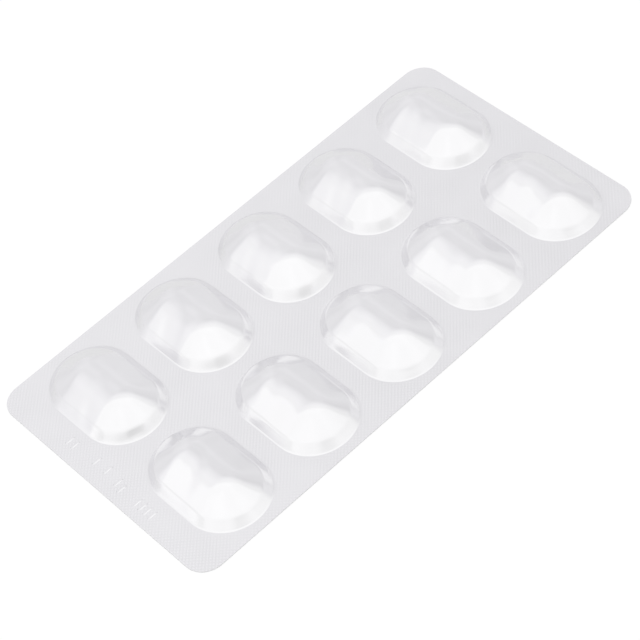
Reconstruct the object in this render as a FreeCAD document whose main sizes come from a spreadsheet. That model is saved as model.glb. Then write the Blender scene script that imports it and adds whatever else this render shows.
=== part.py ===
import FreeCAD, Part
import Sketcher
import math
import os

# Blister pack for large caplets: a flat sealed web with two rows of five raised pockets.
# The frame's origin is the middle of the underside, X runs along the pack, Z points up
# out of the pockets. All lengths are in millimetres.

NODE = "blister_pack"

# Driving dimensions, each with what it measures
DIMENSIONS = {
    "pack_length": (113.3, "length of the sealed web, along X"),
    "pack_width": (60.0, "width of the sealed web, along Y"),
    "corner_radius": (4.5, "radius of the web's four corners, seen from above"),
    "web_thickness": (0.25, "both foils and the seal between them"),
    "columns": (5, "pockets in a row"),
    "rows": (2, "rows of pockets"),
    "column_pitch": (21.6, "from one pocket to the next along a row"),
    "row_pitch": (29.5, "from one row to the next"),
    "first_column": (15.2, "from the coded short edge to the middle of the first pockets"),
    "pocket_width": (17.6, "a pocket's opening in the web, along X"),
    "pocket_length": (26.6, "a pocket's opening in the web, along Y"),
    "pocket_rise": (5.0, "from the top of the web to a pocket's crest"),
    "crest_radius": (7.0, "rounding of the crest"),
    "shoulder_rise": (1.9, "from the web to the corner where the wall meets the crown"),
    "shoulder_inset": (1.75, "from the opening's edge in to that corner"),
    "shoulder_radius": (2.5, "rounding of that corner"),
    "crease_radius": (0.5, "rounding where the wall leaves the web"),
}

# Names of the ends of a sketch's line or arc, and of an arc's centre
START, END, CENTRE = 1, 2, 3

# A sketch's own origin and upright axis
ORIGIN, UPRIGHT = -1, -2

HALF_TURN = math.pi
QUARTER_TURN = math.pi / 2


def make_sheet(doc):
    """Puts the driving dimensions in a spreadsheet, one aliased cell each."""
    sheet = doc.addObject("Spreadsheet::Sheet", "sizes")
    for row, (alias, (value, meaning)) in enumerate(DIMENSIONS.items(), start=1):
        sheet.set(f"A{row}", alias)
        sheet.set(f"B{row}", str(value))
        sheet.set(f"C{row}", meaning)
        sheet.setAlias(f"B{row}", alias)
    doc.recompute()
    return sheet


def origin_feature(body, role):
    """Finds one of the body's own origin planes or axes."""
    for feature in body.Origin.OriginFeatures:
        if feature.Role == role:
            return feature
    raise LookupError(role)


def new_sketch(body, name, plane):
    """Adds a sketch on one of the body's origin planes."""
    sketch = body.newObject("Sketcher::SketchObject", name)
    sketch.AttachmentSupport = [(origin_feature(body, plane), "")]
    sketch.MapMode = "FlatFace"
    return sketch


def bind(sketch, constraint, expression):
    """Adds a dimension to a sketch and ties it to an expression on the sheet."""
    index = sketch.addConstraint(constraint)
    sketch.setExpression(f"Constraints[{index}]", expression)


def join(sketch, first, first_end, second, second_end):
    """Makes two ends meet."""
    sketch.addConstraint(Sketcher.Constraint("Coincident", first, first_end, second, second_end))


def join_smoothly(sketch, first, first_end, second, second_end):
    """Makes two ends meet without a corner."""
    sketch.addConstraint(Sketcher.Constraint("Tangent", first, first_end, second, second_end))


def point(across, up):
    """A point in a sketch's own plane."""
    return FreeCAD.Vector(across, up, 0)


def circle_arc(centre, radius, start_angle, end_angle):
    """An arc that runs counterclockwise between two angles in radians."""
    circle = Part.Circle(centre, FreeCAD.Vector(0, 0, 1), radius)
    return Part.ArcOfCircle(circle, start_angle, end_angle)


def touching_slope(corner, centre, radius):
    """Angle, seen from a circle's centre, of the point where a line from corner touches it."""
    reach = corner - centre
    return math.atan2(reach.y, reach.x) + math.acos(radius / reach.Length)


def polar(centre, radius, angle):
    """The point of a circle at an angle."""
    return centre + point(radius * math.cos(angle), radius * math.sin(angle))


class PocketSection:
    """Starting places of the right half of a pocket's section, before the sketch is solved."""

    def __init__(self, sheet):
        web = sheet.web_thickness
        edge = sheet.pocket_width / 2
        self.corner = point(edge - sheet.shoulder_inset, web + sheet.shoulder_rise)
        self.crest_centre = point(0, web + sheet.pocket_rise - sheet.crest_radius)
        self.crease_centre = point(edge, web + sheet.crease_radius)
        self.crest_angle = touching_slope(self.corner, self.crest_centre, sheet.crest_radius)
        self.crease_angle = touching_slope(self.corner, self.crease_centre, sheet.crease_radius)
        self.wall_normal = self.crease_angle - HALF_TURN
        turn = self.crest_angle - self.wall_normal
        self.shoulder_centre = self.find_shoulder_centre(sheet.shoulder_radius, turn)
        self.flank_top = polar(self.crest_centre, sheet.crest_radius, self.crest_angle)
        self.flank_foot = polar(self.shoulder_centre, sheet.shoulder_radius, self.crest_angle)
        self.wall_top = polar(self.shoulder_centre, sheet.shoulder_radius, self.wall_normal)
        self.wall_foot = polar(self.crease_centre, sheet.crease_radius, self.crease_angle)
        self.web_top = point(edge, web)
        self.web_foot = point(edge, 0)

    def find_shoulder_centre(self, radius, turn):
        """The rounding's centre lies on the line that halves the corner's angle."""
        middle = (self.crest_angle + self.wall_normal) / 2
        return polar(self.corner, -radius / math.cos(turn / 2), middle)


def mirrored(place):
    """The same point on the other side of the upright axis."""
    return point(-place.x, place.y)


def draw_half(sketch, sheet, section, side):
    """Draws flank, shoulder, wall, crease and web edge on one side (1 right, -1 left).

    Returns the flank and the web edge, which the rest of the outline joins.
    """
    right = side > 0

    def placed(place):
        return place if right else mirrored(place)

    def arc(centre, radius, low, high):
        angles = (low, high) if right else (HALF_TURN - high, HALF_TURN - low)
        return sketch.addGeometry(circle_arc(placed(centre), radius, *angles), False)

    def line(first, second):
        return sketch.addGeometry(Part.LineSegment(placed(first), placed(second)), False)

    flank = line(section.flank_top, section.flank_foot)
    shoulder = arc(section.shoulder_centre, sheet.shoulder_radius, section.wall_normal, section.crest_angle)
    wall = line(section.wall_top, section.wall_foot)
    crease = arc(section.crease_centre, sheet.crease_radius, section.crease_angle, 3 * QUARTER_TURN)
    web_edge = line(section.web_top, section.web_foot)
    corner = sketch.addGeometry(Part.Point(placed(section.corner)), True)

    low, high = (START, END) if right else (END, START)
    join_smoothly(sketch, flank, END, shoulder, high)
    join_smoothly(sketch, shoulder, low, wall, START)
    join_smoothly(sketch, wall, END, crease, low)
    join(sketch, crease, high, web_edge, START)
    sketch.addConstraint(Sketcher.Constraint("Vertical", crease, high, crease, CENTRE))
    sketch.addConstraint(Sketcher.Constraint("Vertical", web_edge))
    sketch.addConstraint(Sketcher.Constraint("PointOnObject", corner, START, flank))
    sketch.addConstraint(Sketcher.Constraint("PointOnObject", corner, START, wall))

    bind(sketch, Sketcher.Constraint("Radius", shoulder, sheet.shoulder_radius), "sizes.shoulder_radius")
    bind(sketch, Sketcher.Constraint("Radius", crease, sheet.crease_radius), "sizes.crease_radius")
    span = [(ORIGIN, START), (web_edge, START)]
    inset = [(corner, START), (web_edge, START)]
    if not right:
        span.reverse()
        inset.reverse()
    bind(
        sketch,
        Sketcher.Constraint("DistanceX", *span[0], *span[1], section.web_top.x),
        "sizes.pocket_width / 2",
    )
    bind(
        sketch,
        Sketcher.Constraint("DistanceX", *inset[0], *inset[1], sheet.shoulder_inset),
        "sizes.shoulder_inset",
    )
    bind(
        sketch,
        Sketcher.Constraint("DistanceY", web_edge, START, corner, START, sheet.shoulder_rise),
        "sizes.shoulder_rise",
    )
    bind(
        sketch,
        Sketcher.Constraint("DistanceY", web_edge, END, web_edge, START, sheet.web_thickness),
        "sizes.web_thickness",
    )
    return flank, web_edge


def bind_crest(sketch, sheet, crest):
    """Centres the crest's arc on the upright axis and ties its radius and top to the sheet."""
    sketch.addConstraint(Sketcher.Constraint("PointOnObject", crest, CENTRE, UPRIGHT))
    bind(sketch, Sketcher.Constraint("Radius", crest, sheet.crest_radius), "sizes.crest_radius")
    centre_height = sheet.web_thickness + sheet.pocket_rise - sheet.crest_radius
    bind(
        sketch,
        Sketcher.Constraint("DistanceY", ORIGIN, START, crest, CENTRE, centre_height),
        "sizes.web_thickness + sizes.pocket_rise - sizes.crest_radius",
    )


def draw_run_section(sketch, sheet):
    """Draws the whole section across a pocket, crest in the middle."""
    section = PocketSection(sheet)
    right_flank, right_edge = draw_half(sketch, sheet, section, 1)
    left_flank, left_edge = draw_half(sketch, sheet, section, -1)
    crest_arc = circle_arc(
        section.crest_centre,
        sheet.crest_radius,
        section.crest_angle,
        HALF_TURN - section.crest_angle,
    )
    crest = sketch.addGeometry(crest_arc, False)
    base = sketch.addGeometry(Part.LineSegment(mirrored(section.web_foot), section.web_foot), False)
    join_smoothly(sketch, crest, START, right_flank, START)
    join_smoothly(sketch, crest, END, left_flank, START)
    join(sketch, base, START, left_edge, END)
    join(sketch, base, END, right_edge, END)
    sketch.addConstraint(Sketcher.Constraint("PointOnObject", base, END, -1))
    sketch.addConstraint(Sketcher.Constraint("PointOnObject", base, START, -1))
    bind_crest(sketch, sheet, crest)


def draw_end_section(sketch, sheet):
    """Draws half of that section, closed along the axis that it is turned about."""
    section = PocketSection(sheet)
    flank, web_edge = draw_half(sketch, sheet, section, 1)
    crest_arc = circle_arc(
        section.crest_centre, sheet.crest_radius, section.crest_angle, QUARTER_TURN
    )
    crest = sketch.addGeometry(crest_arc, False)
    base = sketch.addGeometry(Part.LineSegment(point(0, 0), section.web_foot), False)
    summit = point(0, sheet.web_thickness + sheet.pocket_rise)
    axis = sketch.addGeometry(Part.LineSegment(summit, point(0, 0)), False)
    join_smoothly(sketch, crest, START, flank, START)
    join(sketch, crest, END, axis, START)
    join(sketch, axis, END, base, START)
    join(sketch, base, END, web_edge, END)
    join(sketch, base, START, ORIGIN, START)
    sketch.addConstraint(Sketcher.Constraint("PointOnObject", base, END, -1))
    sketch.addConstraint(Sketcher.Constraint("Vertical", axis))
    bind_crest(sketch, sheet, crest)


def place_section(sketch, along_y):
    """Moves a section to the first pocket of the first row, at a given place along Y.

    The plane's own upright is Z and its normal is -Y.
    """
    sketch.setExpression("AttachmentOffset.Base.x", "sizes.first_column - sizes.pack_length / 2")
    sketch.setExpression("AttachmentOffset.Base.z", f"-({along_y})")


def add_web(body, sheet):
    """The flat sealed web, a plate with rounded corners."""
    outline = new_sketch(body, "web_outline", "XY_Plane")
    half_length = sheet.pack_length / 2
    half_width = sheet.pack_width / 2
    corners = [
        point(-half_length, -half_width),
        point(half_length, -half_width),
        point(half_length, half_width),
        point(-half_length, half_width),
    ]
    sides = []
    for first, second in zip(corners, corners[1:] + corners[:1]):
        sides.append(outline.addGeometry(Part.LineSegment(first, second), False))
    for first, second in zip(sides, sides[1:] + sides[:1]):
        join(outline, first, END, second, START)
    front, right, back, left = sides
    for side in (front, back):
        outline.addConstraint(Sketcher.Constraint("Horizontal", side))
    for side in (right, left):
        outline.addConstraint(Sketcher.Constraint("Vertical", side))
    outline.addConstraint(Sketcher.Constraint("Symmetric", front, START, back, START, ORIGIN, START))
    bind(
        outline,
        Sketcher.Constraint("DistanceX", front, START, front, END, sheet.pack_length),
        "sizes.pack_length",
    )
    bind(
        outline,
        Sketcher.Constraint("DistanceY", right, START, right, END, sheet.pack_width),
        "sizes.pack_width",
    )
    plate = body.newObject("PartDesign::Pad", "web_plate")
    plate.Profile = outline
    plate.setExpression("Length", "sizes.web_thickness")
    body.Document.recompute()
    upright = [
        f"Edge{number}"
        for number, edge in enumerate(plate.Shape.Edges, start=1)
        if edge.BoundBox.ZLength > sheet.web_thickness / 2
    ]
    web = body.newObject("PartDesign::Fillet", "web")
    web.Base = (plate, upright)
    web.setExpression("Radius", "sizes.corner_radius")
    body.Document.recompute()


def repeat(body, name, axis, pitch, count):
    """One direction of the grid: how many pockets and how far apart."""
    pattern = body.newObject("PartDesign::LinearPattern", name)
    pattern.Direction = (origin_feature(body, axis), [""])
    pattern.Mode = "Spacing"
    pattern.setExpression("Offset", pitch)
    pattern.setExpression("Occurrences", count)
    return pattern


def add_pockets(body, sheet):
    """One pocket, made of a straight run and two turned ends, and then the whole grid."""
    row = "sizes.row_pitch * (1 - sizes.rows) / 2"
    run_length = "(sizes.pocket_length - sizes.pocket_width)"

    run_section = new_sketch(body, "run_section", "XZ_Plane")
    draw_run_section(run_section, sheet)
    place_section(run_section, row)
    run = body.newObject("PartDesign::Pad", "pocket_run")
    run.Profile = run_section
    run.SideType = "Symmetric"
    run.setExpression("Length", run_length)
    pieces = [run]

    for name, sign in (("near", "-"), ("far", "+")):
        end_section = new_sketch(body, f"{name}_section", "XZ_Plane")
        draw_end_section(end_section, sheet)
        place_section(end_section, f"{row} {sign} {run_length} / 2")
        end = body.newObject("PartDesign::Revolution", f"pocket_{name}_end")
        end.Profile = end_section
        end.ReferenceAxis = (end_section, ["V_Axis"])
        pieces.append(end)
    body.Document.recompute()

    body.Tip = end

    grid = body.newObject("PartDesign::MultiTransform", "pockets")
    grid.Originals = pieces
    grid.Transformations = [
        repeat(body, "along_row", "X_Axis", "sizes.column_pitch", "sizes.columns"),
        repeat(body, "across_rows", "Y_Axis", "sizes.row_pitch", "sizes.rows"),
    ]
    body.Tip = grid
    body.Document.recompute()


def check(doc, body):
    """Stops if an object failed or the pack isn't one valid solid."""
    for item in doc.Objects:
        if {"Invalid", "Error"} & set(item.State):
            raise RuntimeError(f"{item.Name} failed: {item.State}")
    shape = body.Shape
    if shape.isNull() or not shape.isValid() or len(shape.Solids) != 1:
        raise RuntimeError(f"{body.Label} isn't one valid solid")


def main():
    """Builds the pack and writes it."""
    doc = FreeCAD.newDocument("blister_pack")
    sheet = make_sheet(doc)
    body = doc.addObject("PartDesign::Body", NODE)
    body.Label = NODE
    add_web(body, sheet)
    add_pockets(body, sheet)
    body.Placement = FreeCAD.Placement()
    doc.recompute()
    check(doc, body)
    os.makedirs("parts", exist_ok=True)
    body.Shape.exportStep(f"parts/{NODE}.step")
    box = body.Shape.BoundBox
    print(f"{NODE}: {box.XLength:.2f} x {box.YLength:.2f} x {box.ZLength:.2f} mm, {body.Shape.Volume:.0f} mm3")


main()
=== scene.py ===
"""Looks of a sealed foil blister pack for ten oblong tablets.

The pack lies flat with its pockets up. Its formed foil is a thin satin aluminium sheet with ten
crested pockets and a finely knurled flat seal, and its lidding foil closes it underneath.
"""

from __future__ import annotations

import logging
import math
from dataclasses import dataclass, field
from enum import Enum

import bpy
import numpy as np
from mathutils import Matrix, Vector


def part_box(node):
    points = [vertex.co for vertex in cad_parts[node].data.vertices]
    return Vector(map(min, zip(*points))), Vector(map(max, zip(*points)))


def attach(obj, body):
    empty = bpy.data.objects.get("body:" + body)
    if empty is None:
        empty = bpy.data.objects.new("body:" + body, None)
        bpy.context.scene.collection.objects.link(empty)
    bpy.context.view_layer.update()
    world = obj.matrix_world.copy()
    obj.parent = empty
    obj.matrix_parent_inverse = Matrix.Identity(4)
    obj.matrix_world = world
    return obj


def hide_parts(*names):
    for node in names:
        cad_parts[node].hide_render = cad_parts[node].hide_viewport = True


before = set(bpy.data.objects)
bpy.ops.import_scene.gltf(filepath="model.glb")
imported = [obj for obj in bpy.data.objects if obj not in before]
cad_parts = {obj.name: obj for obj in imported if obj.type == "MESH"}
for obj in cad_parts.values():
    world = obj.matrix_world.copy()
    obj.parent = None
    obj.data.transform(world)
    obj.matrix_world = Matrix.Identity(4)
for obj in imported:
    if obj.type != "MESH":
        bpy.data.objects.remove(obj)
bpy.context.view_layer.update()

LOG = logging.getLogger("blister_pack")
MM = 0.001
NODE = "blister_pack"
BODY = "root"

WEB_THICKNESS = 0.25 * MM
LIDDING_THICKNESS = 0.06 * MM
MERGING_DISTANCE = 0.001 * MM
SHARP_EDGE_ANGLE = math.radians(40)
WAVE_BANDS_PERIOD = 2 * math.pi / 20


class Mark(Enum):
    """What a mesh keeps for each point, under the attribute's name."""

    KNURL = "knurl"
    STRETCH = "stretch"


@dataclass(frozen=True)
class PocketSizes:
    """Sizes of one pocket, in metres, as the solid model has them."""

    width: float = 17.6 * MM
    length: float = 26.6 * MM
    rise: float = 5.0 * MM
    crest_radius: float = 7.0 * MM
    shoulder_rise: float = 1.9 * MM
    shoulder_inset: float = 1.75 * MM
    shoulder_radius: float = 2.5 * MM
    crease_radius: float = 0.5 * MM


@dataclass(frozen=True)
class GridSizes:
    """Where the pockets stand on the web, in metres."""

    columns: int = 5
    rows: int = 2
    column_pitch: float = 21.6 * MM
    row_pitch: float = 29.5 * MM
    first_column: float = 15.2 * MM
    corner_radius: float = 4.5 * MM


@dataclass(frozen=True)
class StretchBand:
    """The rim of a pocket where the foil is drawn, from where that begins to where it is full."""

    reach: float = 2.4 * MM
    fade: float = 1.2 * MM


@dataclass(frozen=True)
class MeshSteps:
    """How finely the sheets are divided, and how the web's rings crowd towards a pocket."""

    side: int = 30
    end: int = 26
    crest: int = 7
    flank: int = 6
    shoulder: int = 9
    wall: int = 3
    crease: int = 6
    window: int = 7
    web: int = 6
    web_crowding: float = 1.5


def unit(angle: np.ndarray | float) -> np.ndarray:
    """Unit vectors at angles in radians, as the last axis of an array."""
    return np.stack([np.cos(angle), np.sin(angle)], axis=-1)


def smooth_step(share: np.ndarray) -> np.ndarray:
    """Rises smoothly from 0 to 1: three times the square less twice the cube."""
    share = np.clip(share, 0, 1)
    return share * share * (3 - 2 * share)


def touching_angle(corner: np.ndarray, centre: np.ndarray, radius: float) -> float:
    """Angle at which a line from a corner touches a circle.

    Args:
        corner: point that the line comes from.
        centre: the circle's centre.
        radius: the circle's radius.

    Returns:
        The touching point's angle seen from the centre, in radians.
    """
    reach = corner - centre
    return math.atan2(reach[1], reach[0]) + math.acos(radius / float(np.hypot(*reach)))


def straight(first: np.ndarray, last: np.ndarray, count: int) -> np.ndarray:
    """Evenly spaced points of a straight run, without its first one."""
    share = np.linspace(0, 1, count + 1)[1:, None]
    return first + share * (last - first)


def pocket_section(sizes: PocketSizes, steps: MeshSteps, web_top: float) -> np.ndarray:
    """Works out a pocket's section from its crest out to the web.

    The crest is an arc about the upright axis. A straight flank leaves it and meets the straight
    wall in a rounded shoulder, and a small hollow arc leads the wall into the web. All of them
    touch without a corner.

    Args:
        sizes: the pocket's sizes.
        steps: how many points each run gets.
        web_top: height of the web's upper face.

    Returns:
        One row (distance from the crest line, height) for each ring, crest first.
    """
    edge = sizes.width / 2
    corner = np.array([edge - sizes.shoulder_inset, web_top + sizes.shoulder_rise])
    crest = np.array([0.0, web_top + sizes.rise - sizes.crest_radius])
    crease = np.array([edge, web_top + sizes.crease_radius])
    top = touching_angle(corner, crest, sizes.crest_radius)
    foot = touching_angle(corner, crease, sizes.crease_radius)
    wall = foot - math.pi
    middle = (top + wall) / 2
    shoulder = corner - unit(middle) * sizes.shoulder_radius / math.cos((top - wall) / 2)
    crest_arc = np.linspace(math.pi / 2, top, steps.crest + 1)
    shoulder_arc = np.linspace(top, wall, steps.shoulder + 1)
    crease_arc = np.linspace(foot, 1.5 * math.pi, steps.crease + 1)
    flank_top = crest + sizes.crest_radius * unit(top)
    flank_foot = shoulder + sizes.shoulder_radius * unit(top)
    wall_top = shoulder + sizes.shoulder_radius * unit(wall)
    wall_foot = crease + sizes.crease_radius * unit(foot)
    return np.concatenate(
        [
            crest + sizes.crest_radius * unit(crest_arc),
            straight(flank_top, flank_foot, steps.flank),
            shoulder + sizes.shoulder_radius * unit(shoulder_arc[1:]),
            straight(wall_top, wall_foot, steps.wall),
            crease + sizes.crease_radius * unit(crease_arc[1:]),
        ]
    )


def window_section(sizes: PocketSizes, steps: MeshSteps, dish: float) -> np.ndarray:
    """Works out the lidding foil's section under a pocket.

    The foil lies on the table all round and is dished upwards under the pocket: its height is
    the dish times the square of (1 less the squared share of the way out to the seal).

    Args:
        sizes: the pocket's sizes.
        steps: how many points the section gets.
        dish: height of the dish's middle.

    Returns:
        One row (distance from the pocket's middle line, height) for each ring, middle first.
    """
    share = np.linspace(0, 1, steps.window + 1)
    return np.stack([share * sizes.width / 2, dish * (1 - share**2) ** 2], axis=1)


@dataclass
class Surface:
    """Points, four-cornered faces, and the shares of knurl and of stretching at each point."""

    points: np.ndarray
    quads: np.ndarray
    knurl: np.ndarray
    stretch: np.ndarray

    def merged(self) -> "Surface":
        """Makes one point of those that coincide."""
        keys = np.round(self.points / MERGING_DISTANCE).astype(np.int64)
        _, first, inverse = np.unique(keys, axis=0, return_index=True, return_inverse=True)
        quads = inverse.ravel()[self.quads]
        return Surface(self.points[first], quads, self.knurl[first], self.stretch[first])

    def turned(self) -> "Surface":
        """Turns every face over."""
        return Surface(self.points, self.quads[:, ::-1], self.knurl, self.stretch)

    def border(self) -> np.ndarray:
        """Numbers of the points on the outer border, counterclockwise.

        An edge on the border belongs to one face only, and the outline is convex round the
        origin, so its points come in order of their angle.
        """
        sides = np.stack([self.quads, np.roll(self.quads, -1, axis=1)], axis=-1).reshape(-1, 2)
        sides = np.sort(sides[sides[:, 0] != sides[:, 1]], axis=1)
        pairs, uses = np.unique(sides, axis=0, return_counts=True)
        ring = np.unique(pairs[uses == 1])
        angle = np.arctan2(self.points[ring, 1], self.points[ring, 0])
        return ring[np.argsort(angle)]

    def build(self, name: str, level: float) -> bpy.types.Object:
        """Closes the sheet with a rim and a flat back, and makes its object.

        Args:
            name: the piece's name.
            level: height of the flat back, above or below the sheet.

        Returns:
            The new object, linked to the scene.
        """
        ring = self.border()
        back = self.points[ring].copy()
        back[:, 2] = level
        count = len(self.points)
        below = count + np.arange(len(ring))
        rim = np.stack([below, np.roll(below, -1), np.roll(ring, -1), ring], axis=1)
        cap = below[::-1]
        if level > self.points[ring, 2].mean():
            rim = rim[:, ::-1]
            cap = below
        points = np.concatenate([self.points, back])
        faces = [tuple(dict.fromkeys(quad)) for quad in np.concatenate([self.quads, rim]).tolist()]
        faces = [face for face in faces if len(face) > 2] + [tuple(cap.tolist())]
        bare = np.zeros(len(ring))
        shares = {
            Mark.KNURL: np.concatenate([self.knurl, bare]),
            Mark.STRETCH: np.concatenate([self.stretch, bare]),
        }
        return make_object(name, points, faces, shares)


def make_object(
    name: str,
    points: np.ndarray,
    faces: list[tuple[int, ...]],
    shares: dict[Mark, np.ndarray],
) -> bpy.types.Object:
    """Makes a smooth mesh object whose sharp edges stay sharp.

    Args:
        name: the piece's name.
        points: one row of x, y, z for each point.
        faces: point numbers of each face, counterclockwise from outside.
        shares: a number for each point, under each mark.

    Returns:
        The new object, linked to the scene.
    """
    mesh = bpy.data.meshes.new(name)
    mesh.from_pydata(points.tolist(), [], faces)
    for mark, share in shares.items():
        attribute = mesh.attributes.new(mark.value, "FLOAT", "POINT")
        attribute.data.foreach_set("value", share.astype(np.float32))
    mesh.polygons.foreach_set("use_smooth", np.ones(len(mesh.polygons), dtype=bool))
    mesh.set_sharp_from_angle(angle=SHARP_EDGE_ANGLE)
    mesh.update()
    piece = bpy.data.objects.new(name, mesh)
    bpy.context.scene.collection.objects.link(piece)
    return piece


@dataclass(frozen=True)
class Cell:
    """One pocket's rectangle of the web, low and high corners, and the pocket's middle."""

    low: tuple[float, float]
    high: tuple[float, float]
    centre: tuple[float, float]


@dataclass(frozen=True)
class Unevenness:
    """How the thin foil strays from its true shape: slow waves, all worked out from x and y.

    The height is a sum of plane waves, each the cosine of the distance along its own direction,
    with directions and phases drawn once from a seed, less a sink that keeps the crests low.
    """

    seed: int = 7
    waves: int = 16
    shortest: float = 3.0 * MM
    longest: float = 12.0 * MM
    height: float = 0.020 * MM
    sink: float = 0.07 * MM

    def at(self, places: np.ndarray) -> np.ndarray:
        """Height at places whose last axis holds x and y."""
        draw = np.random.default_rng(self.seed)
        heading = unit(draw.uniform(0, 2 * math.pi, self.waves))
        pitch = draw.uniform(self.shortest, self.longest, self.waves)
        phase = draw.uniform(0, 2 * math.pi, self.waves)
        turns = 2 * math.pi * (places @ heading.T) / pitch + phase
        return self.height * (np.cos(turns) * pitch / self.longest).sum(axis=-1) - self.sink


@dataclass(frozen=True)
class Dent:
    """A small hollow: a bell curve in x and y, longer one way than the other."""

    place: tuple[float, float]
    heading: float
    reach: tuple[float, float]
    depth: float

    def at(self, places: np.ndarray) -> np.ndarray:
        """Height of the hollow, below zero, at places whose last axis holds x and y."""
        along = unit(self.heading)
        across = np.array([-along[1], along[0]])
        offset = places - np.array(self.place)
        share = (offset @ along / self.reach[0]) ** 2 + (offset @ across / self.reach[1]) ** 2
        return -self.depth * np.exp(-share)


@dataclass(frozen=True)
class PocketGrid:
    """The rounded rectangle of the web and how ten pockets divide it."""

    length: float
    width: float
    pocket: PocketSizes = field(default_factory=PocketSizes)
    grid: GridSizes = field(default_factory=GridSizes)
    steps: MeshSteps = field(default_factory=MeshSteps)
    stretch: StretchBand = field(default_factory=StretchBand)

    def cells(self) -> list[Cell]:
        """Divides the web halfway between neighbouring pockets, one cell to a pocket."""
        g = self.grid
        x = g.first_column - self.length / 2 + g.column_pitch * np.arange(g.columns)
        y = g.row_pitch * (np.arange(g.rows) - (g.rows - 1) / 2)
        x_cuts = np.concatenate([[-self.length / 2], (x[1:] + x[:-1]) / 2, [self.length / 2]])
        y_cuts = np.concatenate([[-self.width / 2], (y[1:] + y[:-1]) / 2, [self.width / 2]])
        return [
            Cell((x_cuts[i], y_cuts[j]), (x_cuts[i + 1], y_cuts[j + 1]), (x[i], y[j]))
            for j in range(g.rows)
            for i in range(g.columns)
        ]

    def feet_and_directions(self) -> tuple[np.ndarray, np.ndarray]:
        """Goes round a pocket's outline: two straight sides and two half-round ends.

        Each place has a foot on the crest line and a direction outwards, so a ring at any
        distance from the crest line is foot + distance * direction. The way round starts at the
        near end of the right side and runs counterclockwise.

        Returns:
            The feet and the unit directions, one row each for every place.
        """
        half_run = (self.pocket.length - self.pocket.width) / 2
        side = np.linspace(-half_run, half_run, self.steps.side + 1)[:-1]
        turn = np.linspace(0, math.pi, 2 * self.steps.end + 1)[:-1]
        level = np.zeros_like(side)
        feet = [
            np.stack([level, side], axis=1),
            np.tile([0.0, half_run], (len(turn), 1)),
            np.stack([level, -side], axis=1),
            np.tile([0.0, -half_run], (len(turn), 1)),
        ]
        directions = [
            np.tile([1.0, 0.0], (len(side), 1)),
            unit(turn),
            np.tile([-1.0, 0.0], (len(side), 1)),
            -unit(turn),
        ]
        return np.concatenate(feet), np.concatenate(directions)

    def border(self, cell: Cell) -> np.ndarray:
        """Places on a cell's border, one for each place on the pocket's outline.

        The right and left borders take the outline's straight side and half of each quarter
        turn beside it, and the other two borders take the rest, so that cells that touch share
        the same places.
        """
        n = self.steps
        u = np.linspace(0, 1, n.side + n.end + 1)[:-1]
        v = np.linspace(0, 1, n.end + 1)[:-1]
        (x0, y0), (x1, y1) = cell.low, cell.high
        loop = np.concatenate(
            [
                np.stack([np.full_like(u, x1), y0 + u * (y1 - y0)], axis=1),
                np.stack([x1 + v * (x0 - x1), np.full_like(v, y1)], axis=1),
                np.stack([np.full_like(u, x0), y1 + u * (y0 - y1)], axis=1),
                np.stack([x0 + v * (x1 - x0), np.full_like(v, y0)], axis=1),
            ]
        )
        return np.roll(loop, -(n.end // 2), axis=0)

    def rounded(self, places: np.ndarray) -> np.ndarray:
        """Pulls places near the web's four corners onto the corner arcs.

        Inside a corner's square, a place at the square's own outer border at angle a moves to
        the arc at the same angle, and places nearer the arc's centre move in proportion.
        """
        half = np.array([self.length, self.width]) / 2 - self.grid.corner_radius
        beyond = np.abs(places) - half
        inside = np.all(beyond > 0, axis=-1)
        reach = np.hypot(beyond[..., 0], beyond[..., 1])
        scale = np.max(beyond, axis=-1) / np.where(reach > 0, reach, 1)
        moved = np.sign(places) * (half + beyond * scale[..., None])
        return np.where(inside[..., None], moved, places)

    def surface(self, section: np.ndarray) -> Surface:
        """Carries a section round every pocket and fills the web up to the cells' borders.

        Rings follow one another from the middle outwards. On the web, a ring is part of the way
        from the pocket's outline to the cell's border.

        Args:
            section: rows (distance from the crest line, height), the last one on the web.

        Returns:
            The open sheet with its faces up, knurl on the web alone and stretching on the walls.
        """
        feet, directions = self.feet_and_directions()
        share = np.linspace(0, 1, self.steps.web + 1)[1:] ** self.steps.web_crowding
        share = share[:, None, None]
        rings = len(section) + self.steps.web
        index = np.arange(rings * len(feet)).reshape(rings, len(feet))
        after = np.roll(index, -1, axis=1)
        quads = np.stack([index[1:], after[1:], after[:-1], index[:-1]], axis=-1).reshape(-1, 4)
        height = np.concatenate([section[:, 1], np.full(self.steps.web, section[-1, 1])])
        height = np.broadcast_to(height[:, None, None], (rings, len(feet), 1))
        knurl = np.broadcast_to((np.arange(rings) >= len(section))[:, None], index.shape).ravel()
        reach = np.concatenate([section[:, 0], np.full(self.steps.web, section[-1, 0])])
        wall = smooth_step((reach - reach[-1] + self.stretch.reach) / self.stretch.fade)
        stretch = np.where(np.arange(rings) < len(section), wall, 0.0).repeat(len(feet))
        points = []
        for cell in self.cells():
            pocket = np.array(cell.centre) + feet + section[:, 0, None, None] * directions
            web = pocket[-1] + share * (self.border(cell) - pocket[-1])
            flat = np.concatenate([pocket, self.rounded(web)])
            points.append(np.concatenate([flat, height], axis=2).reshape(-1, 3))
        starts = (np.arange(len(points)) * index.size)[:, None, None]
        return Surface(
            np.concatenate(points),
            (starts + quads).reshape(-1, 4),
            np.tile(knurl.astype(float), len(points)),
            np.tile(stretch, len(points)),
        )


Value = bpy.types.NodeSocket | float


@dataclass(frozen=True)
class Step:
    """A smooth change of a given height while a value goes from start to end."""

    start: float
    end: float
    height: float = 1.0


@dataclass(frozen=True)
class Grain:
    """A Noise Texture's scale and detail."""

    scale: float
    detail: float


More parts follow.
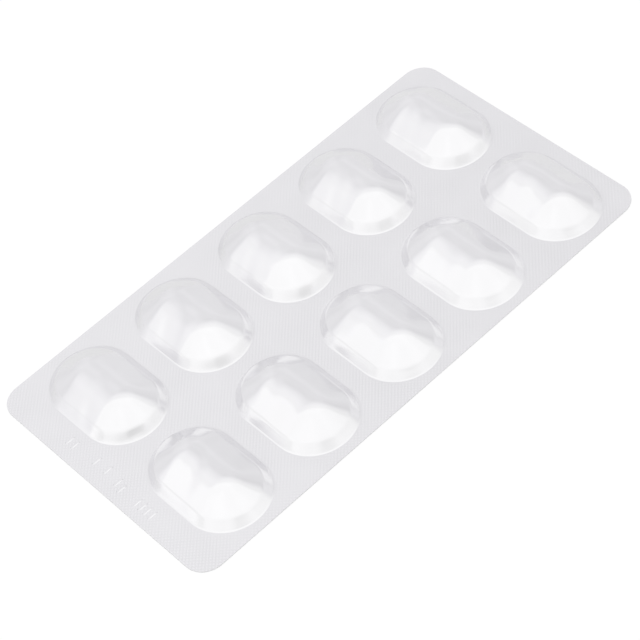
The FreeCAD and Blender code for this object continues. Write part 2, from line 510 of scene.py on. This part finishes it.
@dataclass(frozen=True)
class Graph:
    """A node tree with short ways to add nodes."""

    tree: bpy.types.NodeTree

    def node(self, kind: str) -> bpy.types.Node:
        """Adds a node."""
        return self.tree.nodes.new(kind)

    def link(self, source: bpy.types.NodeSocket, target: bpy.types.NodeSocket) -> None:
        """Links an output to an input."""
        self.tree.links.new(source, target)

    def attribute(self, mark: Mark) -> bpy.types.NodeSocket:
        """A number that the mesh keeps for each point."""
        node = self.node("ShaderNodeAttribute")
        node.attribute_name = mark.value
        return node.outputs["Fac"]

    def math(self, operation: str, *values: Value) -> bpy.types.NodeSocket:
        """A Math node whose values are sockets or numbers."""
        node = self.node("ShaderNodeMath")
        node.operation = operation
        for value, target in zip(values, node.inputs):
            if isinstance(value, (int, float)):
                target.default_value = value
            else:
                self.link(value, target)
        return node.outputs["Value"]

    def ramp(
        self, value: bpy.types.NodeSocket, start: float, end: float, low: float, high: float
    ) -> bpy.types.NodeSocket:
        """Goes smoothly from low to high while the value goes from start to end."""
        node = self.node("ShaderNodeMapRange")
        node.interpolation_type = "SMOOTHSTEP"
        self.link(value, node.inputs["Value"])
        limits = {"From Min": start, "From Max": end, "To Min": low, "To Max": high}
        for name, number in limits.items():
            node.inputs[name].default_value = number
        return node.outputs["Result"]

    def rise(self, value: bpy.types.NodeSocket, step: Step) -> bpy.types.NodeSocket:
        """Goes smoothly from 0 to the step's height."""
        return self.ramp(value, step.start, step.end, 0.0, step.height)

    def fall(self, value: bpy.types.NodeSocket, step: Step) -> bpy.types.NodeSocket:
        """Goes smoothly from the step's height to 0."""
        return self.ramp(value, step.start, step.end, step.height, 0.0)

    def along(
        self, direction: bpy.types.NodeSocket, axis: tuple[float, float, float]
    ) -> bpy.types.NodeSocket:
        """How far a direction goes along an axis."""
        node = self.node("ShaderNodeVectorMath")
        node.operation = "DOT_PRODUCT"
        node.inputs[1].default_value = axis
        self.link(direction, node.inputs[0])
        return node.outputs["Value"]

    def stretched(
        self,
        place: bpy.types.NodeSocket,
        turn: float,
        scale: tuple[float, float, float],
    ) -> bpy.types.NodeSocket:
        """A Mapping node that turns a place about Z and then scales it."""
        node = self.node("ShaderNodeMapping")
        node.inputs["Rotation"].default_value = (0, 0, turn)
        node.inputs["Scale"].default_value = scale
        self.link(place, node.inputs["Vector"])
        return node.outputs["Vector"]

    def noise(self, place: bpy.types.NodeSocket, grain: Grain) -> bpy.types.NodeSocket:
        """A Noise Texture's grey value."""
        node = self.node("ShaderNodeTexNoise")
        node.inputs["Scale"].default_value = grain.scale
        node.inputs["Detail"].default_value = grain.detail
        self.link(place, node.inputs["Vector"])
        return node.outputs["Fac"]

    def bump(
        self,
        height: bpy.types.NodeSocket,
        distance: float,
        under: bpy.types.NodeSocket | None = None,
    ) -> bpy.types.NodeSocket:
        """A Bump node over another one's normal."""
        node = self.node("ShaderNodeBump")
        node.inputs["Distance"].default_value = distance
        self.link(height, node.inputs["Height"])
        if under is not None:
            self.link(under, node.inputs["Normal"])
        return node.outputs["Normal"]

    def mix_shader(
        self,
        share: bpy.types.NodeSocket,
        first: bpy.types.NodeSocket,
        second: bpy.types.NodeSocket,
    ) -> bpy.types.NodeSocket:
        """Mixes two shaders by a share of the second."""
        node = self.node("ShaderNodeMixShader")
        for source, target in zip((share, first, second), node.inputs):
            self.link(source, target)
        return node.outputs["Shader"]


@dataclass(frozen=True)
class SatinFoil:
    """Satin aluminium foil, knurled on the seal and drawn smooth on the pockets."""

    colour: tuple[float, float, float] = (0.901, 0.898, 0.908)
    tone_clouds: Grain = Grain(90.0, 2.0)
    tone_positions: tuple[float, float] = (0.3, 1.0)
    # The colour ramp's ends carry both the random tone and the painted shade in the knurl's
    # grooves.
    tone_and_shade_parts: tuple[float, float] = (0.982, 1.028)
    # Painted shade: the knurl's grooves are coloured darker than its ridges.
    painted_groove_shade: float = 0.8
    gloss_clouds: Grain = Grain(180.0, 4.0)
    gloss_cloud_range: tuple[float, float] = (0.25, 0.75)
    roughness_range: tuple[float, float] = (0.10, 0.15)
    pressed_roughness: float = 0.08
    stretched_roughness: float = 0.05
    knurl_pitch: float = 0.60 * MM
    knurl_heading: float = math.radians(45)
    knurl_height: float = 0.014 * MM
    rolling: Grain = Grain(1.0, 3.0)
    rolling_scale: tuple[float, float, float] = (250, 1400, 700)
    rolling_height: float = 0.0012 * MM

    def make(self, name: str) -> bpy.types.Material:
        """Builds the material's nodes.

        Args:
            name: the material's name.

        Returns:
            The new material.
        """
        material = bpy.data.materials.new(name)
        material.use_nodes = True
        graph = Graph(material.node_tree)
        shader = graph.tree.nodes["Principled BSDF"]
        shader.inputs["Metallic"].default_value = 1.0
        place = graph.node("ShaderNodeTexCoord").outputs["Object"]
        share = graph.attribute(Mark.KNURL)
        ridges = self.knurl(graph, place, share)
        bump = graph.bump(self.rolling_marks(graph, place), self.rolling_height)
        bump = graph.bump(ridges, self.knurl_height, bump)
        graph.link(bump, shader.inputs["Normal"])
        graph.link(self.gloss(graph, place, share), shader.inputs["Roughness"])
        graph.link(self.colour_and_groove_shade(graph, place, ridges), shader.inputs["Base Color"])
        return material

    def knurl(
        self, graph: Graph, place: bpy.types.NodeSocket, share: bpy.types.NodeSocket
    ) -> bpy.types.NodeSocket:
        """Two crossed sets of ridges, askew to the pack's edges, where the web is.

        A Wave Texture's bands repeat every WAVE_BANDS_PERIOD of its own unit.
        """
        turned = graph.stretched(place, self.knurl_heading, (1, 1, 1))
        heights = []
        for direction in ("X", "Y"):
            wave = graph.node("ShaderNodeTexWave")
            wave.bands_direction = direction
            wave.inputs["Scale"].default_value = WAVE_BANDS_PERIOD / self.knurl_pitch
            graph.link(turned, wave.inputs["Vector"])
            heights.append(wave.outputs["Fac"])
        return graph.math("MULTIPLY", graph.math("MULTIPLY", *heights), share)

    def rolling_marks(self, graph: Graph, place: bpy.types.NodeSocket) -> bpy.types.NodeSocket:
        """Fine rolling marks, drawn out along the pack."""
        return graph.noise(graph.stretched(place, 0.0, self.rolling_scale), self.rolling)

    def gloss(
        self, graph: Graph, place: bpy.types.NodeSocket, share: bpy.types.NodeSocket
    ) -> bpy.types.NodeSocket:
        """Roughness: cloudy, with more of it on the pressed seal and the stretched walls."""
        clouds = graph.noise(place, self.gloss_clouds)
        cloudy = graph.ramp(clouds, *self.gloss_cloud_range, *self.roughness_range)
        pressed = graph.math("MULTIPLY_ADD", share, self.pressed_roughness, cloudy)
        stretch = graph.attribute(Mark.STRETCH)
        return graph.math("MULTIPLY_ADD", stretch, self.stretched_roughness, pressed)

    def colour_and_groove_shade(
        self, graph: Graph, place: bpy.types.NodeSocket, ridges: bpy.types.NodeSocket
    ) -> bpy.types.NodeSocket:
        """The foil's colour, very slightly cloudy, and a little brighter on the knurl's ridges:
        painted shade that darkens the grooves.
        """
        clouds = graph.noise(place, self.tone_clouds)
        ramp = graph.node("ShaderNodeValToRGB")
        # Painted shade: the knurl's ridges push the colour up the ramp, which leaves the grooves
        # darker.
        lit = graph.math("MULTIPLY_ADD", ridges, self.painted_groove_shade, clouds)
        graph.link(lit, ramp.inputs["Fac"])
        elements = ramp.color_ramp.elements
        for element, position, part in zip(elements, self.tone_positions, self.tone_and_shade_parts):
            element.position = position
            element.color = (*(level * part for level in self.colour), 1)
        return ramp.outputs["Color"]


@dataclass(frozen=True)
class FormedFoil:
    """The upper foil with its ten pockets, down to the seam with the lidding foil."""

    grid: PocketGrid
    unevenness: Unevenness = field(default_factory=Unevenness)
    free_height: float = 1.8 * MM
    dent_free_height: float = 0.3 * MM
    tip: float = 0.019
    dents: tuple[Dent, ...] = (
        Dent(
            place=(-44.2 * MM, 2.9 * MM),
            heading=math.radians(-18),
            reach=(1.5 * MM, 0.45 * MM),
            depth=0.25 * MM,
        ),
    )

    def build(self) -> bpy.types.Object:
        """Carries the pockets' section round, adds what makes it uneven and closes the sheet.

        Each row's crowns tip a little towards their own long edge of the pack: the height falls
        by the tip times the distance beyond the row's middle. Both it and the waves fade in from
        the web up to the free height.
        """
        section = pocket_section(self.grid.pocket, self.grid.steps, WEB_THICKNESS)
        sheet = self.grid.surface(section).merged()
        places = sheet.points[:, :2]
        above = sheet.points[:, 2] - WEB_THICKNESS
        raised = smooth_step(above / self.free_height)
        beyond = np.abs(places[:, 1]) - self.grid.grid.row_pitch / 2
        sheet.points[:, 2] += raised * (self.unevenness.at(places) - self.tip * beyond)
        for dent in self.dents:
            sheet.points[:, 2] += smooth_step(above / self.dent_free_height) * dent.at(places)
        return sheet.build("formed_foil", LIDDING_THICKNESS)


@dataclass(frozen=True)
class LiddingFoil:
    """The lower foil, sealed flat all round the pockets and a little dished under each."""

    grid: PocketGrid
    dish: float = 0.04 * MM

    def build(self) -> bpy.types.Object:
        """Carries the window's section round and closes the foil with its flat upper face."""
        section = window_section(self.grid.pocket, self.grid.steps, self.dish)
        sheet = self.grid.surface(section).merged().turned()
        return sheet.build("lidding_foil", LIDDING_THICKNESS)


@dataclass(frozen=True)
class CodeTicks:
    """Small plain ticks pressed up along the short edge, where a pack is coded.

    Their middles are given in millimetres.
    """

    places: tuple[tuple[float, float], ...] = (
        (-53.0, 12.2),
        (-53.0, 10.6),
        (-52.6, 4.6),
        (-52.6, 1.4),
        (-53.1, -2.2),
        (-53.6, -3.8),
        (-53.6, -8.4),
        (-53.6, -9.8),
        (-53.6, -11.2),
        (-53.6, -12.6),
    )
    length: float = 2.0 * MM
    breadth: float = 0.5 * MM
    height: float = 0.055 * MM
    root: float = 0.02 * MM
    steps: tuple[int, int] = (12, 6)

    def build(self) -> bpy.types.Object:
        """Makes every tick: a long low cushion rooted in the web.

        The height is the whole height times (1 - u^4)(1 - v^2), where u runs from -1 to 1 along
        the tick and v across it.
        """
        u, v = (np.linspace(-1, 1, count + 1) for count in self.steps)
        u, v = np.meshgrid(u, v, indexing="ij")
        rise = self.height * (1 - u**4) * (1 - v**2)
        level = WEB_THICKNESS - self.root
        top = np.stack([u * self.length / 2, v * self.breadth / 2, WEB_THICKNESS + rise], axis=-1)
        low = top.copy()
        low[..., 2] = level
        one = np.concatenate([top.reshape(-1, 3), low.reshape(-1, 3)])
        index = np.arange(u.size).reshape(u.shape)
        quads = np.stack([index[:-1, :-1], index[1:, :-1], index[1:, 1:], index[:-1, 1:]], axis=-1)
        upper = quads.reshape(-1, 4)
        lower = upper[:, ::-1] + u.size
        loop = np.concatenate([index[:-1, 0], index[-1, :-1], index[:0:-1, -1], index[0, :0:-1]])
        ahead = np.roll(loop, -1)
        wall = np.stack([loop + u.size, ahead + u.size, ahead, loop], axis=1)
        faces = np.concatenate([upper, lower, wall])
        shift = np.array([[x, y, 0] for x, y in self.places]) * MM
        points = (shift[:, None, :] + one).reshape(-1, 3)
        starts = (np.arange(len(shift)) * len(one))[:, None, None]
        every = [tuple(face) for face in (starts + faces).reshape(-1, 4).tolist()]
        bare = np.zeros(len(points))
        return make_object("code_ticks", points, every, {mark: bare for mark in Mark})


@dataclass(frozen=True)
class PhotoCamera:
    """The photograph's camera: where it stands, its axes and its lens."""

    position: Vector = Vector((-144.60, -234.22, 321.56)) * MM
    right: Vector = Vector((0.72037, -0.67314, -0.16719))
    down: Vector = Vector((-0.60691, -0.49507, -0.62175))
    ahead: Vector = Vector((0.33575, 0.54936, -0.76517))
    focal_pixels: float = 2231.85
    picture_pixels: float = 640
    sensor_width: float = 36
    clip_start: float = 0.01

    def build(self) -> None:
        """Makes the camera and gives it to the scene."""
        turn = Matrix((self.right, -self.down, -self.ahead)).transposed()
        data = bpy.data.cameras.new("camera")
        data.sensor_width = self.sensor_width
        data.lens = self.sensor_width * self.focal_pixels / self.picture_pixels
        data.clip_start = self.clip_start
        camera = bpy.data.objects.new("camera", data)
        camera.matrix_world = Matrix.Translation(self.position) @ turn.to_4x4()
        bpy.context.scene.collection.objects.link(camera)
        bpy.context.scene.camera = camera


@dataclass(frozen=True)
class Directions:
    """Sockets that hold a direction and its three angles in degrees.

    The tilt is the angle away from straight up, positive towards the far wall. The side is the
    angle to the right of the plane that the camera looks along. The back is the tilt towards
    the camera.
    """

    direction: bpy.types.NodeSocket
    tilt: bpy.types.NodeSocket
    side: bpy.types.NodeSocket
    back: bpy.types.NodeSocket


@dataclass(frozen=True)
class FarWall:
    """The light of the far wall: its level and what is added to it or taken away."""

    level: float = 0.793
    middle: Step = Step(0, 50, 0.037)
    far_sides: Step = Step(55, 85, 0.085)
    low_glow: Step = Step(50, 60, 0.02)
    low_glow_side: Step = Step(5, 15)
    top: Step = Step(36, 46, 0.035)
    foot: Step = Step(60, 78, 0.03)
    left: Step = Step(-6, 4, 0.03)

    def build(
        self, graph: Graph, at: Directions, off_middle: bpy.types.NodeSocket
    ) -> bpy.types.NodeSocket:
        """Adds up the wall's light.

        It is brighter in its middle, on its left, at both far sides, low down on its right and
        everywhere below its top edge, and it is dimmer again at its foot.

        Args:
            graph: the world's nodes.
            at: the direction and its angles.
            off_middle: how many degrees the side is off the wall's middle.

        Returns:
            The level, where 1 is white.
        """
        wall = graph.fall(off_middle, self.middle)
        wall = graph.math("ADD", wall, graph.rise(off_middle, self.far_sides))
        glow = graph.rise(at.tilt, self.low_glow)
        glow = graph.math("MULTIPLY", glow, graph.rise(at.side, self.low_glow_side))
        wall = graph.math("ADD", graph.math("ADD", wall, glow), self.level)
        wall = graph.math("ADD", wall, graph.rise(at.tilt, self.top))
        wall = graph.math("SUBTRACT", wall, graph.rise(at.tilt, self.foot))
        return graph.math("ADD", wall, graph.fall(at.side, self.left))


@dataclass(frozen=True)
class Ceiling:
    """The light of the ceiling: its level and what is taken away from it."""

    level: float = 1.078
    right: Step = Step(20, 83, 0.095)
    gap_opens: Step = Step(54, 62, 0.08)
    gap_closes: Step = Step(68, 78)
    back: Step = Step(20, 60, 0.02)
    horizon: Step = Step(62, 76, 0.14)
    back_middle: Step = Step(25, 65, 0.06)
    back_middle_side: Step = Step(0, 45)
    back_right: Step = Step(42, 60, 0.07)
    back_right_opens: Step = Step(-8, 6)
    back_right_closes: Step = Step(30, 42)

    def build(
        self, graph: Graph, at: Directions, off_middle: bpy.types.NodeSocket
    ) -> bpy.types.NodeSocket:
        """Takes the losses off the ceiling's light.

        It falls off to the right and down towards the camera, most of all just above the
        horizon. There the middle and the part just right of it lose a little more. A dim gap
        parts it from the left wall.

        Args:
            graph: the world's nodes.
            at: the direction and its angles.
            off_middle: how many degrees the side is off the wall's middle.

        Returns:
            The level, where 1 is white.
        """
        left = graph.math("MULTIPLY", at.side, -1.0)
        loss = graph.rise(at.side, self.right)
        gap = graph.rise(left, self.gap_opens)
        gap = graph.math("MULTIPLY", gap, graph.fall(left, self.gap_closes))
        loss = graph.math("ADD", loss, gap)
        loss = graph.math("ADD", loss, graph.rise(at.back, self.back))
        loss = graph.math("ADD", loss, graph.rise(at.back, self.horizon))
        shade = graph.rise(at.back, self.back_middle)
        shade = graph.math("MULTIPLY", shade, graph.fall(off_middle, self.back_middle_side))
        loss = graph.math("ADD", loss, shade)
        beside = graph.rise(at.side, self.back_right_opens)
        beside = graph.math("MULTIPLY", beside, graph.fall(at.side, self.back_right_closes))
        shade = graph.math("MULTIPLY", graph.rise(at.back, self.back_right), beside)
        loss = graph.math("ADD", loss, shade)
        return graph.math("SUBTRACT", self.level, loss)


@dataclass(frozen=True)
class Surroundings:
    """A studio graded by direction, with a bright ceiling and a dimmer, cooler far wall.

    The wall takes over from the ceiling at a narrow edge and then over a wide fade, both slightly
    askew. Soft patches make all of it a little uneven.
    """

    away: tuple[float, float, float] = (0.525, 0.851, 0.0)
    aside: tuple[float, float, float] = (0.851, -0.525, 0.0)
    ceiling: Ceiling = field(default_factory=Ceiling)
    wall: FarWall = field(default_factory=FarWall)
    middle: float = 2.0
    skew: float = 0.09
    edge: Step = Step(11.5, 15.0, 0.36)
    fade: Step = Step(20, 40, 0.64)
    cooling: Step = Step(5.0, 35.0)
    cool: tuple[float, float, float] = (1.0, 0.995, 1.013)
    patches: Grain = Grain(3.0, 1.0)
    patchiness: float = 0.09

    def build(self) -> None:
        """Makes the world: graded by direction, and plain white where the camera sees it."""
        surroundings = bpy.data.worlds.new("studio")
        surroundings.use_nodes = True
        graph = Graph(surroundings.node_tree)
        at = self.directions(graph)
        lit = graph.tree.nodes["Background"]
        graph.link(self.level(graph, at), lit.inputs["Strength"])
        tint = graph.node("ShaderNodeValToRGB")
        graph.link(graph.rise(at.tilt, self.cooling), tint.inputs["Fac"])
        for element, colour in zip(tint.color_ramp.elements, ((1.0, 1.0, 1.0), self.cool)):
            element.color = (*colour, 1)
        graph.link(tint.outputs["Color"], lit.inputs["Color"])
        white = graph.node("ShaderNodeBackground")
        white.inputs["Color"].default_value = (1, 1, 1, 1)
        seen = graph.node("ShaderNodeLightPath").outputs["Is Camera Ray"]
        choice = graph.mix_shader(seen, lit.outputs["Background"], white.outputs["Background"])
        graph.link(choice, graph.tree.nodes["World Output"].inputs["Surface"])
        bpy.context.scene.world = surroundings

    def directions(self, graph: Graph) -> Directions:
        """Works out the angles of the direction that is looked along."""
        direction = graph.node("ShaderNodeTexCoord").outputs["Generated"]
        axes = ((0, 0, 1), self.away, self.aside)
        up, away, aside = (graph.along(direction, axis) for axis in axes)
        tilt = graph.math("MULTIPLY", graph.math("ARCTAN2", away, up), 180 / math.pi)
        side = graph.math("MULTIPLY", graph.math("ARCSINE", aside), 180 / math.pi)
        return Directions(direction, tilt, side, graph.math("MULTIPLY", tilt, -1.0))

    def level(self, graph: Graph, at: Directions) -> bpy.types.NodeSocket:
        """How bright the surroundings are, where 1 is white."""
        askew = graph.math("MULTIPLY_ADD", at.side, self.skew, at.tilt)
        passed = graph.math("ADD", graph.rise(askew, self.edge), graph.rise(askew, self.fade))
        off_middle = graph.math("ABSOLUTE", graph.math("SUBTRACT", at.side, self.middle))
        wall = self.wall.build(graph, at, off_middle)
        ceiling = self.ceiling.build(graph, at, off_middle)
        drop = graph.math("MULTIPLY", passed, graph.math("SUBTRACT", ceiling, wall))
        even = graph.math("SUBTRACT", ceiling, drop)
        patches = graph.math("SUBTRACT", graph.noise(at.direction, self.patches), 0.5)
        return graph.math("MULTIPLY_ADD", patches, self.patchiness, even)


@dataclass(frozen=True)
class Floor:
    """A plain pale floor that keeps the pack's soft shadow."""

    reach: float = 3.0
    level: float = -0.02 * MM
    colour: tuple[float, float, float] = (0.85, 0.85, 0.85)
    roughness: float = 0.9
    backdrop: float = 1.12
    backdrop_share: float = 0.65

    def build(self) -> None:
        """Makes the floor, part of it white emission where the camera sees it."""
        mesh = bpy.data.meshes.new("floor")
        turns = ((-1, -1), (1, -1), (1, 1), (-1, 1))
        corners = [(x * self.reach, y * self.reach, self.level) for x, y in turns]
        mesh.from_pydata(corners, [], [(0, 1, 2, 3)])
        piece = bpy.data.objects.new("floor", mesh)
        bpy.context.scene.collection.objects.link(piece)
        material = bpy.data.materials.new("floor")
        material.use_nodes = True
        graph = Graph(material.node_tree)
        shader = graph.tree.nodes["Principled BSDF"]
        shader.inputs["Base Color"].default_value = (*self.colour, 1)
        shader.inputs["Roughness"].default_value = self.roughness
        shader.inputs["Specular IOR Level"].default_value = 0.0
        white = graph.node("ShaderNodeEmission")
        white.inputs["Strength"].default_value = self.backdrop
        seen = graph.node("ShaderNodeLightPath").outputs["Is Camera Ray"]
        share = graph.math("MULTIPLY", seen, self.backdrop_share)
        choice = graph.mix_shader(share, shader.outputs["BSDF"], white.outputs["Emission"])
        graph.link(choice, graph.tree.nodes["Material Output"].inputs["Surface"])
        mesh.materials.append(material)


def main() -> None:
    """Builds the pack and its studio."""
    logging.basicConfig(level=logging.INFO)
    low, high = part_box(NODE)
    grid = PocketGrid(length=high.x - low.x, width=high.y - low.y)
    finish = SatinFoil().make("satin_foil")
    for maker in (FormedFoil(grid), LiddingFoil(grid), CodeTicks()):
        piece = maker.build()
        piece.data.materials.append(finish)
        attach(piece, BODY)
        if isinstance(maker, FormedFoil):
            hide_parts(NODE)
        LOG.info("%s: %d faces", piece.name, len(piece.data.polygons))
    for setting in (PhotoCamera(), Surroundings(), Floor()):
        setting.build()
    bpy.context.scene.view_settings.view_transform = "Standard"


if __name__ == "__main__":
    main()
